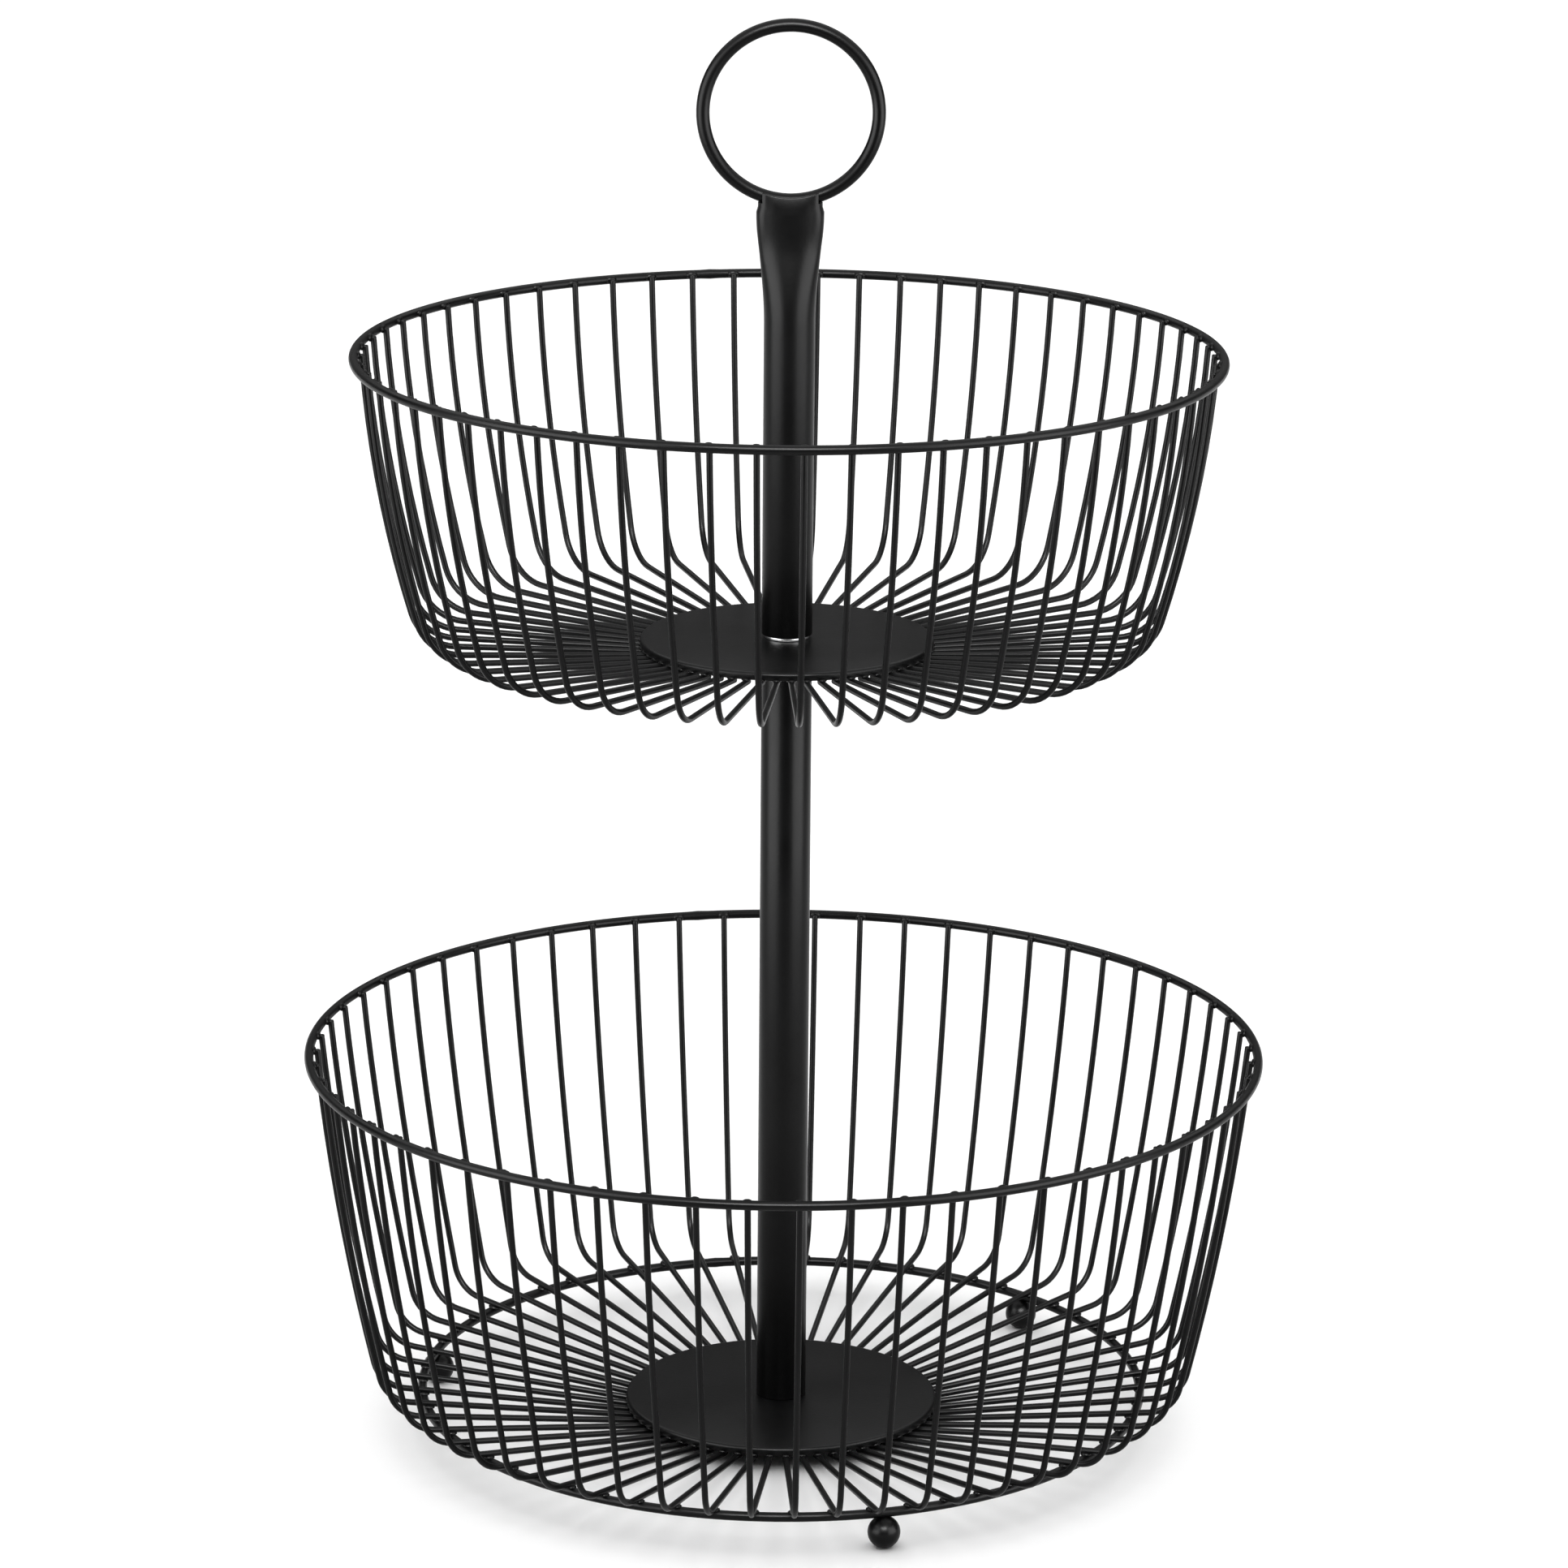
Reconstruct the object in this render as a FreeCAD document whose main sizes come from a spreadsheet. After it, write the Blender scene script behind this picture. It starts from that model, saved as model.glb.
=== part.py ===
import math
import os

import FreeCAD
import Part
import Sketcher

# A two-tier wire basket on a central column, with a ring handle on top.
# Z points up, the column is the Z axis and the feet stand on the plane Z = 0.

# Driving dimensions: lengths in millimetres, angles in degrees, and counts.
sizes = [
    ("rib_wire", 2.0, "diameter of the rib wire"),
    ("rim_wire", 3.0, "diameter of the rim wire"),
    ("base_ring_wire", 3.0, "diameter of the base ring wire"),
    ("handle_wire", 4.2, "diameter of the handle ring wire"),
    ("weld_gap", 0.03, "gap left where two wires are welded"),
    ("rib_count", 60, "ribs in one basket"),
    ("ribs_per_group", 5, "neighbouring ribs kept together as one group"),
    ("rib_phase", 2.0, "angle of the first rib from the X axis"),
    ("rib_tip_rise", 0.5, "rib tips above the middle of the rim wire"),
    ("rib_hub_lap", 3.5, "reach of a rib under the edge of its hub disc"),
    ("lower_rim_radius", 152.5, "middle of the rim wire, lower basket"),
    ("lower_basket_depth", 114.1, "lower rim above the base ring"),
    ("lower_floor_inset", 29.5, "where the lower floor turns up, inside the rim"),
    ("lower_floor_slope", 8.2, "fall of the lower floor towards its hub"),
    ("lower_bend_radius", 12.0, "bend between lower floor and wall"),
    ("lower_wall_radius", 800.0, "gentle outward curve of the lower wall"),
    ("lower_hub_radius", 50.5, "outer radius of the lower hub disc"),
    ("upper_rim_radius", 136.0, "middle of the rim wire, upper basket"),
    ("upper_basket_depth", 93.1, "upper rim above the underside of its hub disc"),
    ("upper_floor_inset", 31.1, "where the upper floor turns up, inside the rim"),
    ("upper_floor_slope", 3.2, "fall of the upper floor towards its hub"),
    ("upper_bend_radius", 15.5, "bend between upper floor and wall"),
    ("upper_wall_radius", 372.0, "gentle outward curve of the upper wall"),
    ("upper_hub_radius", 46.5, "outer radius of the upper hub disc"),
    ("hub_thickness", 2.5, "thickness of a hub disc"),
    ("hub_edge_round", 1.0, "rounding of a hub disc's upper edge"),
    ("base_ring_inset", 6.0, "base ring inside the place where the floor turns up"),
    ("foot_count", 3, "ball feet"),
    ("foot_phase", -74.0, "angle of the first foot from the X axis"),
    ("foot_diameter", 10.3, "diameter of a ball foot"),
    ("foot_flat_depth", 0.1, "depth of the flat that a foot stands on"),
    ("foot_sink", 0.3, "depth of the base ring's seat in a foot"),
    ("tube_diameter", 16.0, "outer diameter of the column tubes"),
    ("tube_wall", 1.2, "wall of the column tubes"),
    ("lower_tube_length", 252.0, "length of the lower tube"),
    ("seat_gap", 0.1, "running gap between pieces that turn on each other"),
    ("flare_length", 34.0, "part of the upper tube that goes from round to flat"),
    ("mouth_length", 7.3, "part of the upper tube that is pressed flat"),
    ("mouth_play", 0.145, "play of the handle ring between the mouth's faces"),
    ("mouth_pinch", 0.5, "narrowing of each side of the mouth above its shoulder"),
    ("corner_step", 1.9, "width of a corner step beside the mouth's faces"),
    ("saddle_drop", 1.0, "mouth edge below the inside of the handle ring"),
    ("ring_clearance", 0.1, "play of the handle ring above the corner steps"),
    ("handle_ring_radius", 27.3, "middle of the handle ring wire"),
    ("handle_height", 166.0, "middle of the handle ring above the upper tube's foot"),
    ("thread_diameter", 6.0, "nominal diameter of stud, screw and their holes"),
    ("running_clearance", 0.05, "radial play of a threaded piece in its hole"),
    ("insert_length", 16.0, "length of a threaded insert"),
    ("insert_clearance", 0.02, "radial play of an insert in its tube"),
    ("stud_reach", 13.0, "reach of the joining stud into each insert"),
    ("washer_diameter", 14.0, "outer diameter of the washers"),
    ("washer_thickness", 1.0, "thickness of the washers"),
    ("screw_reach", 12.0, "reach of the base screw into its insert"),
    ("screw_head_diameter", 11.0, "diameter of the base screw's head"),
    ("screw_head_height", 2.8, "height of the base screw's head"),
    ("screw_head_round", 1.2, "rounding of the screw head's lower edge"),
    ("socket_width", 4.0, "hexagon socket across its flats"),
    ("socket_depth", 1.6, "depth of the hexagon socket"),
    ("edge_break", 0.4, "chamfer on the ends of stud, screw and inserts"),
    ("cut_overrun", 2.0, "how far a cut runs past the faces it opens"),
]

doc = FreeCAD.newDocument("tiered_wire_basket")
sheet = doc.addObject("Spreadsheet::Sheet", "Sheet")
for row, (alias, amount, meaning) in enumerate(sizes, start=1):
    sheet.set(f"A{row}", meaning)
    sheet.set(f"B{row}", str(amount))
    sheet.setAlias(f"B{row}", alias)
doc.recompute()

# Heights and radii that follow from the sizes, each worked out once.
foot_height = "(Sheet.foot_diameter - Sheet.foot_flat_depth)"
lower_floor_radius = "(Sheet.lower_rim_radius - Sheet.lower_floor_inset)"
upper_floor_radius = "(Sheet.upper_rim_radius - Sheet.upper_floor_inset)"
base_ring_radius = f"({lower_floor_radius} - Sheet.base_ring_inset)"
base_ring_height = f"({foot_height} - Sheet.foot_sink + Sheet.base_ring_wire / 2)"
rib_radius = "(Sheet.rib_wire / 2)"
rim_reach = f"(Sheet.rim_wire / 2 + {rib_radius} + Sheet.weld_gap)"
ring_reach = f"(Sheet.base_ring_wire / 2 + {rib_radius} + Sheet.weld_gap)"
hub_reach = f"({rib_radius} + Sheet.weld_gap)"

# The lower hub disc rests on ribs that fall from the base ring towards it.
lower_fall = f"(({base_ring_radius} - Sheet.lower_hub_radius) * sin(Sheet.lower_floor_slope))"
lower_hub_height = (
    f"({base_ring_height} + ({ring_reach} + {hub_reach} - {lower_fall})"
    " / cos(Sheet.lower_floor_slope))"
)
lower_tube_height = f"({lower_hub_height} + Sheet.hub_thickness)"
lower_rim_height = f"({base_ring_height} + Sheet.lower_basket_depth)"
tube_joint_height = f"({lower_tube_height} + Sheet.lower_tube_length)"
upper_hub_height = f"({tube_joint_height} + Sheet.seat_gap)"
upper_rim_height = f"({upper_hub_height} + Sheet.upper_basket_depth)"
joint_washer_height = f"({upper_hub_height} + Sheet.hub_thickness + Sheet.seat_gap)"
upper_tube_height = f"({joint_washer_height} + Sheet.washer_thickness + Sheet.seat_gap)"
base_washer_height = f"({lower_hub_height} - Sheet.washer_thickness)"

hole_radius = "(Sheet.thread_diameter / 2)"
thread_radius = "(Sheet.thread_diameter / 2 - Sheet.running_clearance)"
tube_radius = "(Sheet.tube_diameter / 2)"
tube_bore_radius = f"({tube_radius} - Sheet.tube_wall)"
insert_radius = f"({tube_bore_radius} - Sheet.insert_clearance)"
washer_radius = "(Sheet.washer_diameter / 2)"

# The mouth takes the ring's wire, and a tube pressed flat keeps its girth, which gives its width.
flat_thickness = "(Sheet.handle_wire + 2 * (Sheet.tube_wall + Sheet.mouth_play))"
flat_width = f"(pi / 2 * (Sheet.tube_diameter - {flat_thickness}) + {flat_thickness})"
face_half = f"({flat_width} / 2 - Sheet.corner_step)"
handle_inner_radius = "(Sheet.handle_ring_radius - Sheet.handle_wire / 2)"
handle_outer_radius = "(Sheet.handle_ring_radius + Sheet.handle_wire / 2)"
saddle_radius = f"({handle_inner_radius} + Sheet.saddle_drop)"
mouth_bore_half = f"({flat_width} / 2 - Sheet.tube_wall)"
step_height = (
    f"(Sheet.handle_height - sqrt(({handle_outer_radius} + Sheet.ring_clearance) ^ 2"
    f" - {mouth_bore_half} ^ 2))"
)
mouth_height = f"(Sheet.handle_height - sqrt({saddle_radius} ^ 2 - {face_half} ^ 2))"
flat_height = f"({mouth_height} - Sheet.mouth_length)"
round_length = f"({flat_height} - Sheet.flare_length)"

nodes = []


def amount_of(formula):
    result = sheet.evalExpression(formula)
    return float(getattr(result, "Value", result))


def flat(x, y):
    return FreeCAD.Vector(x, y, 0)


def keep(piece, label):
    piece.Label = label
    nodes.append(piece)
    return piece


def new_body(label):
    return keep(doc.addObject("PartDesign::Body", label), label)


def origin_feature(body, role):
    return next(f for f in body.Origin.OriginFeatures if f.Role == role)


def new_sketch(body, name, role="XY_Plane", height="0"):
    sketch = body.newObject("Sketcher::SketchObject", name)
    sketch.AttachmentSupport = [(origin_feature(body, role), "")]
    sketch.MapMode = "FlatFace"
    sketch.setExpression("AttachmentOffset.Base.z", height)
    return sketch


def bind(sketch, constraint, formula):
    index = sketch.addConstraint(constraint)
    sketch.renameConstraint(index, f"size_{index}")
    sketch.setExpression(f"Constraints.size_{index}", formula)


def place_point(sketch, geometry, point, x, y):
    bind(sketch, Sketcher.Constraint("DistanceX", -1, 1, geometry, point, amount_of(x)), x)
    bind(sketch, Sketcher.Constraint("DistanceY", -1, 1, geometry, point, amount_of(y)), y)


def add_circle(sketch, radius, x="0", y="0"):
    centre = flat(amount_of(x), amount_of(y))
    circle = Part.Circle(centre, FreeCAD.Vector(0, 0, 1), amount_of(radius))
    index = sketch.addGeometry(circle)
    bind(sketch, Sketcher.Constraint("Radius", index, amount_of(radius)), radius)
    if (x, y) == ("0", "0"):
        sketch.addConstraint(Sketcher.Constraint("Coincident", index, 3, -1, 1))
    else:
        place_point(sketch, index, 3, x, y)
    return index


def add_outline(sketch, corners):
    points = [flat(amount_of(x), amount_of(y)) for x, y in corners]
    first = sketch.GeometryCount
    count = len(points)
    for number in range(count):
        sketch.addGeometry(Part.LineSegment(points[number], points[(number + 1) % count]))
    for number in range(count):
        following = first + (number + 1) % count
        sketch.addConstraint(Sketcher.Constraint("Coincident", first + number, 2, following, 1))
    for number, (x, y) in enumerate(corners):
        place_point(sketch, first + number, 1, x, y)


def add_pad(body, name, sketch, length):
    pad = body.newObject("PartDesign::Pad", name)
    pad.Profile = sketch
    pad.setExpression("Length", length)
    doc.recompute()
    return pad


def add_pocket(body, name, sketch, length, both_ways=False):
    before = body.Tip.Shape.Volume
    pocket = body.newObject("PartDesign::Pocket", name)
    pocket.Profile = sketch
    pocket.Reversed = not both_ways
    pocket.Midplane = both_ways
    pocket.setExpression("Length", length)
    doc.recompute()
    if pocket.Shape.Volume >= before:
        raise RuntimeError(f"{name} cuts nothing")
    return pocket


def rim_edges(feature, radius, height):
    found = []
    for number, edge in enumerate(feature.Shape.Edges, start=1):
        if not isinstance(edge.Curve, Part.Circle):
            continue
        same_radius = abs(edge.Curve.Radius - amount_of(radius)) <= edge.Tolerance
        same_height = abs(edge.Curve.Center.z - amount_of(height)) <= edge.Tolerance
        if same_radius and same_height:
            found.append(f"Edge{number}")
    return found


def break_edges(body, feature, edges):
    chamfer = body.newObject("PartDesign::Chamfer", "edge_break")
    chamfer.Base = (feature, edges)
    chamfer.setExpression("Size", "Sheet.edge_break")
    doc.recompute()
    return chamfer


def round_edges(body, feature, edges, radius):
    fillet = body.newObject("PartDesign::Fillet", "edge_round")
    fillet.Base = (feature, edges)
    fillet.setExpression("Radius", radius)
    doc.recompute()
    return fillet


def raise_to(piece, height):
    piece.setExpression("Placement.Base.z", height)


# Closed wire rings: both rims, the base ring and the handle ring.
def wire_ring(label, radius, wire, height):
    ring = keep(doc.addObject("Part::Torus", label), label)
    ring.setExpression("Radius1", radius)
    ring.setExpression("Radius2", f"{wire} / 2")
    raise_to(ring, height)
    return ring


# A ball foot with a small flat below and a seat for the base ring on top.
def ball_foot(number, seat):
    turn = f"(Sheet.foot_phase + {number} * 360 / Sheet.foot_count)"
    half = "(Sheet.foot_diameter / 2)"
    ball = doc.addObject("Part::Sphere", f"ball_{number + 1}")
    ball.setExpression("Radius", half)
    ball.setExpression("Angle1", f"-asin(({half} - Sheet.foot_flat_depth) / {half})")
    ball.setExpression("Placement.Base.x", f"{base_ring_radius} * cos({turn})")
    ball.setExpression("Placement.Base.y", f"{base_ring_radius} * sin({turn})")
    raise_to(ball, f"{half} - Sheet.foot_flat_depth")
    foot = keep(doc.addObject("Part::Cut", f"ball_foot_{number + 1}"), f"ball_foot_{number + 1}")
    foot.Base = ball
    foot.Tool = seat


def seat_torus():
    seat = doc.addObject("Part::Torus", "foot_seat")
    seat.setExpression("Radius1", base_ring_radius)
    seat.setExpression("Radius2", "Sheet.base_ring_wire / 2 + Sheet.weld_gap")
    raise_to(seat, base_ring_height)
    return seat


# A rib's middle line: floor, bend and wall, touching what carries the floor and the rim.
def rib_path(body, basket):
    slope = math.radians(amount_of(basket["slope"]))
    along = flat(math.cos(slope), math.sin(slope))
    upward = flat(-math.sin(slope), math.cos(slope))
    bend = amount_of(basket["bend"])
    wall = amount_of(basket["wall"])
    carrier = flat(amount_of(basket["carrier_radius"]), amount_of(basket["carrier_height"]))
    rim = flat(amount_of(basket["rim_radius"]), amount_of(basket["rim_height"]))
    on_floor = carrier + upward * amount_of(basket["carrier_reach"]) * basket["carrier_side"]

    def floor_point(radius):
        return on_floor + along * ((radius - on_floor.x) / along.x)

    start = floor_point(amount_of(basket["end_radius"]))
    turn_up = floor_point(amount_of(basket["floor_radius"]))
    bend_centre = turn_up + upward * bend
    # The wall's centre lies at known distances from the bend's centre and from the rim.
    to_bend = wall - bend
    to_rim = wall + amount_of(rim_reach)
    apart = rim - bend_centre
    span = apart.Length
    foot = (to_bend ** 2 - to_rim ** 2 + span ** 2) / (2 * span)
    across = flat(-apart.y, apart.x) * (math.sqrt(to_bend ** 2 - foot ** 2) / span)
    wall_centre = bend_centre + apart * (foot / span) + across
    leaving = bend_centre - wall_centre
    wall_start = math.atan2(leaving.y, leaving.x)
    tip = amount_of(basket["rim_height"]) + amount_of("Sheet.rib_tip_rise")
    wall_end = math.asin((tip - wall_centre.y) / wall)

    sketch = new_sketch(body, "rib_path", "XZ_Plane")
    facing = FreeCAD.Vector(0, 0, 1)
    sketch.addGeometry(Part.LineSegment(start, turn_up))
    bend_circle = Part.Circle(bend_centre, facing, bend)
    sketch.addGeometry(Part.ArcOfCircle(bend_circle, slope - math.pi / 2, wall_start))
    wall_circle = Part.Circle(wall_centre, facing, wall)
    sketch.addGeometry(Part.ArcOfCircle(wall_circle, wall_start, wall_end))
    sketch.addConstraint(Sketcher.Constraint("Tangent", 0, 2, 1, 1))
    sketch.addConstraint(Sketcher.Constraint("Tangent", 1, 2, 2, 1))
    bind(sketch, Sketcher.Constraint("Radius", 1, bend), basket["bend"])
    bind(sketch, Sketcher.Constraint("Radius", 2, wall), basket["wall"])
    bind(sketch, Sketcher.Constraint("Angle", 0, slope), basket["slope"])
    bind(sketch, Sketcher.Constraint("DistanceX", -1, 1, 0, 1, start.x), basket["end_radius"])
    bind(sketch, Sketcher.Constraint("DistanceX", -1, 1, 0, 2, turn_up.x), basket["floor_radius"])
    tip_formula = f"{basket['rim_height']} + Sheet.rib_tip_rise"
    bind(sketch, Sketcher.Constraint("DistanceY", -1, 1, 2, 2, tip), tip_formula)
    rim_circle = add_circle(sketch, rim_reach, basket["rim_radius"], basket["rim_height"])
    carrier_place = (basket["carrier_radius"], basket["carrier_height"])
    carrier_circle = add_circle(sketch, basket["carrier_reach"], *carrier_place)
    sketch.toggleConstruction(rim_circle)
    sketch.toggleConstruction(carrier_circle)
    sketch.addConstraint(Sketcher.Constraint("Tangent", rim_circle, 2))
    sketch.addConstraint(Sketcher.Constraint("Tangent", carrier_circle, 0))
    doc.recompute()
    return sketch


# One group of neighbouring ribs, each a separate bent wire.
def rib_group(label, basket, number):
    body = new_body(label)
    body.AllowCompound = True
    path = rib_path(body, basket)
    section = body.newObject("Sketcher::SketchObject", "rib_section")
    section.AttachmentSupport = [(path, "Edge1")]
    section.MapMode = "NormalToEdge"
    section.MapPathParameter = 0
    add_circle(section, rib_radius)
    rib = body.newObject("PartDesign::AdditivePipe", "rib")
    rib.Profile = section
    rib.Spine = (path, ["Edge1", "Edge2", "Edge3"])
    group = body.newObject("PartDesign::PolarPattern", "ribs")
    group.Originals = [rib]
    group.Axis = (origin_feature(body, "Z_Axis"), [""])
    group.setExpression("Occurrences", "Sheet.ribs_per_group")
    group.setExpression("Angle", "(Sheet.ribs_per_group - 1) * 360 / Sheet.rib_count")
    body.Tip = group
    body.Placement.Rotation = FreeCAD.Rotation(FreeCAD.Vector(0, 0, 1), amount_of("Sheet.rib_phase"))
    turn = f"Sheet.rib_phase + {number} * Sheet.ribs_per_group * 360 / Sheet.rib_count"
    body.setExpression("Placement.Rotation.Angle", turn)


def basket_wires(name, basket):
    wire_ring(f"{name}_rim", basket["rim_radius"], "Sheet.rim_wire", basket["rim_height"])
    groups = round(amount_of("Sheet.rib_count / Sheet.ribs_per_group"))
    for number in range(groups):
        rib_group(f"{name}_ribs_{number + 1:02d}", basket, number)


# A flat ring of sheet or a short sleeve: outer radius, hole and thickness.
def sleeve(label, outer, hole, length, height):
    body = new_body(label)
    sketch = new_sketch(body, "outline")
    add_circle(sketch, outer)
    add_circle(sketch, hole)
    add_pad(body, "sleeve", sketch, length)
    raise_to(body, height)
    return body


def hub_disc(label, radius, height):
    body = sleeve(label, radius, hole_radius, "Sheet.hub_thickness", height)
    edges = rim_edges(body.Tip, radius, "Sheet.hub_thickness")
    round_edges(body, body.Tip, edges, "Sheet.hub_edge_round")


def threaded_insert(label, height):
    body = sleeve(label, insert_radius, hole_radius, "Sheet.insert_length", height)
    edges = rim_edges(body.Tip, insert_radius, "0")
    edges += rim_edges(body.Tip, insert_radius, "Sheet.insert_length")
    break_edges(body, body.Tip, edges)


# The stud stands in the lower tube's top insert and reaches into the upper tube's insert.
def joining_stud():
    length = f"({upper_tube_height} - {tube_joint_height} + 2 * Sheet.stud_reach)"
    body = new_body("joining_stud")
    sketch = new_sketch(body, "outline")
    add_circle(sketch, thread_radius)
    rod = add_pad(body, "rod", sketch, length)
    edges = rim_edges(rod, thread_radius, "0") + rim_edges(rod, thread_radius, length)
    break_edges(body, rod, edges)
    raise_to(body, f"{tube_joint_height} - Sheet.stud_reach")


# A low screw, head down, with a hexagon socket in its head.
def base_screw():
    head_radius = "(Sheet.screw_head_diameter / 2)"
    length = f"(Sheet.screw_head_height + {lower_tube_height} - {base_washer_height} + Sheet.screw_reach)"
    body = new_body("base_screw")
    shank_sketch = new_sketch(body, "shank_outline")
    add_circle(shank_sketch, thread_radius)
    add_pad(body, "shank", shank_sketch, length)
    head_sketch = new_sketch(body, "head_outline")
    add_circle(head_sketch, head_radius)
    head = add_pad(body, "head", head_sketch, "Sheet.screw_head_height")
    round_edges(body, head, rim_edges(head, head_radius, "0"), "Sheet.screw_head_round")
    socket_sketch = new_sketch(body, "socket_outline")
    corner = "(Sheet.socket_width / sqrt(3))"
    turns = [360 / 6 * number for number in range(6)]
    add_outline(socket_sketch, [(f"{corner} * cos({turn})", f"{corner} * sin({turn})") for turn in turns])
    socket = add_pocket(body, "socket", socket_sketch, "Sheet.socket_depth")
    break_edges(body, socket, rim_edges(socket, thread_radius, length))
    raise_to(body, f"{base_washer_height} - Sheet.screw_head_height")


# Outline of the tube where it is still round, in four arcs that match the mouth's four edges.
def round_section(body, name, radius, height):
    sketch = new_sketch(body, name, height=height)
    reach = amount_of(radius)
    half_turn = f"(({flat_width} - {flat_thickness}) / Sheet.tube_diameter * 180 / pi)"
    split = math.pi / 2 - math.radians(amount_of(half_turn))
    ends = [-split, split, math.pi - split, math.pi + split, 2 * math.pi - split]
    circle = Part.Circle(flat(0, 0), FreeCAD.Vector(0, 0, 1), reach)
    for first, second in zip(ends, ends[1:]):
        sketch.addGeometry(Part.ArcOfCircle(circle, first, second))
    for number in range(3):
        sketch.addConstraint(Sketcher.Constraint("Coincident", number, 3, -1, 1))
    for number in range(4):
        sketch.addConstraint(Sketcher.Constraint("Coincident", number, 2, (number + 1) % 4, 1))
    bind(sketch, Sketcher.Constraint("Radius", 0, reach), radius)
    sketch.addConstraint(Sketcher.Constraint("Equal", 0, 3))
    side = f"{radius} * sin({half_turn})"
    bind(sketch, Sketcher.Constraint("DistanceX", -1, 1, 0, 2, amount_of(side)), side)
    sketch.addConstraint(Sketcher.Constraint("Vertical", 0, 1, 0, 2))
    sketch.addConstraint(Sketcher.Constraint("Horizontal", 1, 1, 1, 2))
    sketch.addConstraint(Sketcher.Constraint("Vertical", 2, 1, 2, 2))
    doc.recompute()
    return sketch


# Outline of the flattened mouth: two straight faces and two round edges.
def flat_section(body, name, width, thickness, height):
    sketch = new_sketch(body, name, height=height)
    edge = amount_of(thickness) / 2
    centre = amount_of(width) / 2 - edge
    up = FreeCAD.Vector(0, 0, 1)
    quarter = math.pi / 2
    right = Part.Circle(flat(centre, 0), up, edge)
    left = Part.Circle(flat(-centre, 0), up, edge)
    sketch.addGeometry(Part.ArcOfCircle(right, -quarter, quarter))
    sketch.addGeometry(Part.LineSegment(flat(centre, edge), flat(-centre, edge)))
    sketch.addGeometry(Part.ArcOfCircle(left, quarter, 3 * quarter))
    sketch.addGeometry(Part.LineSegment(flat(-centre, -edge), flat(centre, -edge)))
    for number in range(4):
        following = (number + 1) % 4
        sketch.addConstraint(Sketcher.Constraint("Tangent", number, 2, following, 1))
    sketch.addConstraint(Sketcher.Constraint("PointOnObject", 0, 3, -1))
    sketch.addConstraint(Sketcher.Constraint("Symmetric", 0, 3, 2, 3, -1, 1))
    sketch.addConstraint(Sketcher.Constraint("Equal", 0, 2))
    bind(sketch, Sketcher.Constraint("Radius", 0, edge), f"{thickness} / 2")
    offset = f"({width} - {thickness}) / 2"
    bind(sketch, Sketcher.Constraint("DistanceX", -1, 1, 0, 3, centre), offset)
    doc.recompute()
    return sketch


def add_loft(body, kind, name, first, second):
    loft = body.newObject(f"PartDesign::{kind}", name)
    loft.Profile = first
    loft.Sections = [second]
    loft.Ruled = True
    doc.recompute()
    return loft


# The upper tube: round below, pressed flat at the top, where its mouth takes the handle ring.
def upper_tube():
    body = new_body("upper_tube")
    foot = new_sketch(body, "foot_outline")
    add_circle(foot, tube_radius)
    add_pad(body, "round_part", foot, round_length)
    outer_round = round_section(body, "flare_foot", tube_radius, round_length)
    outer_flat = flat_section(body, "flare_top", flat_width, flat_thickness, flat_height)
    add_loft(body, "AdditiveLoft", "flare", outer_round, outer_flat)
    mouth_sketch = flat_section(body, "mouth_outline", flat_width, flat_thickness, flat_height)
    add_pad(body, "mouth", mouth_sketch, "Sheet.mouth_length")

    bore_width = f"({flat_width} - 2 * Sheet.tube_wall)"
    bore_thickness = f"({flat_thickness} - 2 * Sheet.tube_wall)"
    bore = new_sketch(body, "bore_outline")
    add_circle(bore, tube_bore_radius)
    add_pocket(body, "bore", bore, round_length)
    inner_round = round_section(body, "flare_bore_foot", tube_bore_radius, round_length)
    inner_flat = flat_section(body, "flare_bore_top", bore_width, bore_thickness, flat_height)
    add_loft(body, "SubtractiveLoft", "flare_bore", inner_round, inner_flat)
    mouth_bore = flat_section(body, "mouth_bore_outline", bore_width, bore_thickness, flat_height)
    add_pocket(body, "mouth_bore", mouth_bore, "Sheet.mouth_length + Sheet.cut_overrun")

    saddle = new_sketch(body, "saddle_outline", "XZ_Plane")
    add_circle(saddle, saddle_radius, y="Sheet.handle_height")
    add_pocket(body, "saddle", saddle, "Sheet.tube_diameter", both_ways=True)
    half = f"{flat_width} / 2"
    outside = f"{half} + Sheet.cut_overrun"
    pinched = f"{half} - Sheet.mouth_pinch"
    above = f"{mouth_height} + Sheet.cut_overrun"
    side = [
        (outside, flat_height),
        (half, flat_height),
        (pinched, f"{flat_height} + Sheet.mouth_pinch"),
        (pinched, step_height),
        (face_half, step_height),
        (face_half, above),
        (outside, above),
    ]
    steps = new_sketch(body, "corner_steps_outline", "XZ_Plane")
    add_outline(steps, side)
    add_outline(steps, [(f"-({x})", y) for x, y in side])
    add_pocket(body, "corner_steps", steps, "Sheet.tube_diameter", both_ways=True)
    seat = body.newObject("PartDesign::SubtractiveTorus", "ring_seat")
    seat.AttachmentSupport = [(origin_feature(body, "XZ_Plane"), "")]
    seat.MapMode = "FlatFace"
    seat.setExpression("AttachmentOffset.Base.y", "Sheet.handle_height")
    seat.setExpression("Radius1", "Sheet.handle_ring_radius")
    seat.setExpression("Radius2", "Sheet.handle_wire / 2 + Sheet.weld_gap")
    raise_to(body, upper_tube_height)


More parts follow.
